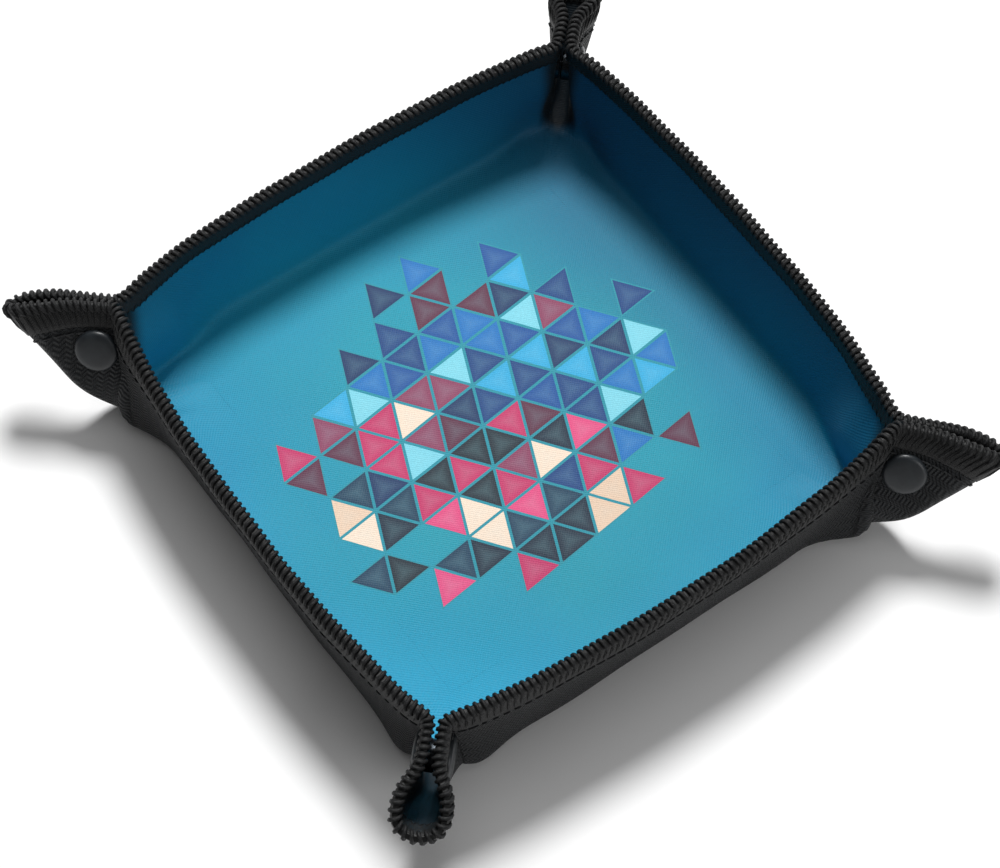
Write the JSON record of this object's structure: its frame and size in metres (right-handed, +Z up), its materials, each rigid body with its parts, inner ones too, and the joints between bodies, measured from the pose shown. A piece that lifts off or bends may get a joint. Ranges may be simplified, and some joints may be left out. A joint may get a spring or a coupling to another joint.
{
  "type": "folding dice tray",
  "caption": "Square padded cloth dice tray with bound edges whose corners pinch into snap-fastened ears and open out to a near-flat mat.",
  "frame": {"origin": "centre of the underside of the base, on the surface the tray stands on", "axes": "+Z up through the open top; +X and +Y square to the east and north walls; the ears point along the diagonals"},
  "size_m": [0.194, 0.194, 0.0393],
  "materials": {
    "shell_cloth": "coarse woven nylon, matte",
    "foam_core": "closed-cell foam sheet",
    "printed_liner": null,
    "edge_binding": "satin tape with overlocked thread",
    "snap_cap": "satin black enamel",
    "snap_socket": "plated spring socket",
    "snap_stud": "plated stud"
  },
  "bodies": {
    "base": {"base_shell": "shell_cloth", "base_core": "foam_core", "base_liner": "printed_liner"},
    "wall_east": {"wall_east_shell": "shell_cloth", "wall_east_core": "foam_core", "wall_east_liner": "printed_liner", "wall_east_binding": "edge_binding"},
    "wall_north": {"wall_north_shell": "shell_cloth", "wall_north_core": "foam_core", "wall_north_liner": "printed_liner", "wall_north_binding": "edge_binding"},
    "wall_west": {"wall_west_shell": "shell_cloth", "wall_west_core": "foam_core", "wall_west_liner": "printed_liner", "wall_west_binding": "edge_binding"},
    "wall_south": {"wall_south_shell": "shell_cloth", "wall_south_core": "foam_core", "wall_south_liner": "printed_liner", "wall_south_binding": "edge_binding"},
    "ear_ne_a": {"ear_ne_a_shell": "shell_cloth", "ear_ne_a_liner": "printed_liner", "ear_ne_a_binding": "edge_binding", "ear_ne_a_cap": "snap_cap", "ear_ne_a_socket": "snap_socket"},
    "ear_ne_b": {"ear_ne_b_shell": "shell_cloth", "ear_ne_b_liner": "printed_liner", "ear_ne_b_binding": "edge_binding", "ear_ne_b_cap": "snap_cap", "ear_ne_b_stud": "snap_stud"},
    "ear_nw_a": {"ear_nw_a_shell": "shell_cloth", "ear_nw_a_liner": "printed_liner", "ear_nw_a_binding": "edge_binding", "ear_nw_a_cap": "snap_cap", "ear_nw_a_socket": "snap_socket"},
    "ear_nw_b": {"ear_nw_b_shell": "shell_cloth", "ear_nw_b_liner": "printed_liner", "ear_nw_b_binding": "edge_binding", "ear_nw_b_cap": "snap_cap", "ear_nw_b_stud": "snap_stud"},
    "ear_sw_a": {"ear_sw_a_shell": "shell_cloth", "ear_sw_a_liner": "printed_liner", "ear_sw_a_binding": "edge_binding", "ear_sw_a_cap": "snap_cap", "ear_sw_a_socket": "snap_socket"},
    "ear_sw_b": {"ear_sw_b_shell": "shell_cloth", "ear_sw_b_liner": "printed_liner", "ear_sw_b_binding": "edge_binding", "ear_sw_b_cap": "snap_cap", "ear_sw_b_stud": "snap_stud"},
    "ear_se_a": {"ear_se_a_shell": "shell_cloth", "ear_se_a_liner": "printed_liner", "ear_se_a_binding": "edge_binding", "ear_se_a_cap": "snap_cap", "ear_se_a_socket": "snap_socket"},
    "ear_se_b": {"ear_se_b_shell": "shell_cloth", "ear_se_b_liner": "printed_liner", "ear_se_b_binding": "edge_binding", "ear_se_b_cap": "snap_cap", "ear_se_b_stud": "snap_stud"}
  },
  "joints": [
    {"name": "unfold", "type": "hinge", "parent": "base", "child": "wall_east", "pos_m": [0.07, 0, 0.003], "axis": [0, 1, 0], "range_deg": [0, 74]},
    {"name": "wall_north_fold", "type": "hinge", "parent": "base", "child": "wall_north", "pos_m": [0, 0.07, 0.003], "axis": [-1, 0, 0], "range_deg": [0, 74]},
    {"name": "wall_west_fold", "type": "hinge", "parent": "base", "child": "wall_west", "pos_m": [-0.07, 0, 0.003], "axis": [0, -1, 0], "range_deg": [0, 74]},
    {"name": "wall_south_fold", "type": "hinge", "parent": "base", "child": "wall_south", "pos_m": [0, -0.07, 0.003], "axis": [1, 0, 0], "range_deg": [0, 74]},
    {"name": "ear_ne_a_fold", "type": "hinge", "parent": "wall_east", "child": "ear_ne_a", "pos_m": [0.07009, 0.06712, 0.00349], "axis": [0.1711, 0.1711, 0.9703], "range_deg": [0, 42.52]},
    {"name": "ear_ne_b_fold", "type": "hinge", "parent": "wall_north", "child": "ear_ne_b", "pos_m": [0.06712, 0.07009, 0.00349], "axis": [-0.1711, -0.1711, -0.9703], "range_deg": [0, 42.52]},
    {"name": "ear_nw_a_fold", "type": "hinge", "parent": "wall_north", "child": "ear_nw_a", "pos_m": [-0.07306, 0.07538, 0.036], "axis": [0.4272, -0.0862, 0.9], "range_deg": [0, 44.38]},
    {"name": "ear_nw_b_fold", "type": "hinge", "parent": "wall_west", "child": "ear_nw_b", "pos_m": [-0.07513, 0.07307, 0.036], "axis": [0.3266, -0.6025, -0.7282], "range_deg": [0, 55.78]},
    {"name": "ear_sw_a_fold", "type": "hinge", "parent": "wall_west", "child": "ear_sw_a", "pos_m": [-0.07009, -0.06712, 0.00349], "axis": [-0.1711, -0.1711, 0.9703], "range_deg": [0, 42.52]},
    {"name": "ear_sw_b_fold", "type": "hinge", "parent": "wall_south", "child": "ear_sw_b", "pos_m": [-0.06712, -0.07009, 0.00349], "axis": [0.1711, 0.1711, -0.9703], "range_deg": [0, 42.52]},
    {"name": "ear_se_a_fold", "type": "hinge", "parent": "wall_south", "child": "ear_se_a", "pos_m": [0.07307, -0.07513, 0.036], "axis": [0.6025, -0.3266, 0.7282], "range_deg": [0, 55.78]},
    {"name": "ear_se_b_fold", "type": "hinge", "parent": "wall_east", "child": "ear_se_b", "pos_m": [0.07538, -0.07306, 0.036], "axis": [0.0862, -0.4272, -0.9], "range_deg": [0, 44.38]}
  ],
  "couplings": [
    {"joint": "wall_north_fold", "follows": "unfold", "ratio": 1},
    {"joint": "wall_west_fold", "follows": "unfold", "ratio": 1},
    {"joint": "wall_south_fold", "follows": "unfold", "ratio": 1},
    {"joint": "ear_ne_a_fold", "follows": "unfold", "ratio": 0.5733},
    {"joint": "ear_ne_b_fold", "follows": "unfold", "ratio": 0.5733},
    {"joint": "ear_nw_a_fold", "follows": "unfold", "ratio": 0.59844},
    {"joint": "ear_nw_b_fold", "follows": "unfold", "ratio": 0.7524},
    {"joint": "ear_sw_a_fold", "follows": "unfold", "ratio": 0.5733},
    {"joint": "ear_sw_b_fold", "follows": "unfold", "ratio": 0.5733},
    {"joint": "ear_se_a_fold", "follows": "unfold", "ratio": 0.7524},
    {"joint": "ear_se_b_fold", "follows": "unfold", "ratio": 0.59844}
  ]
}
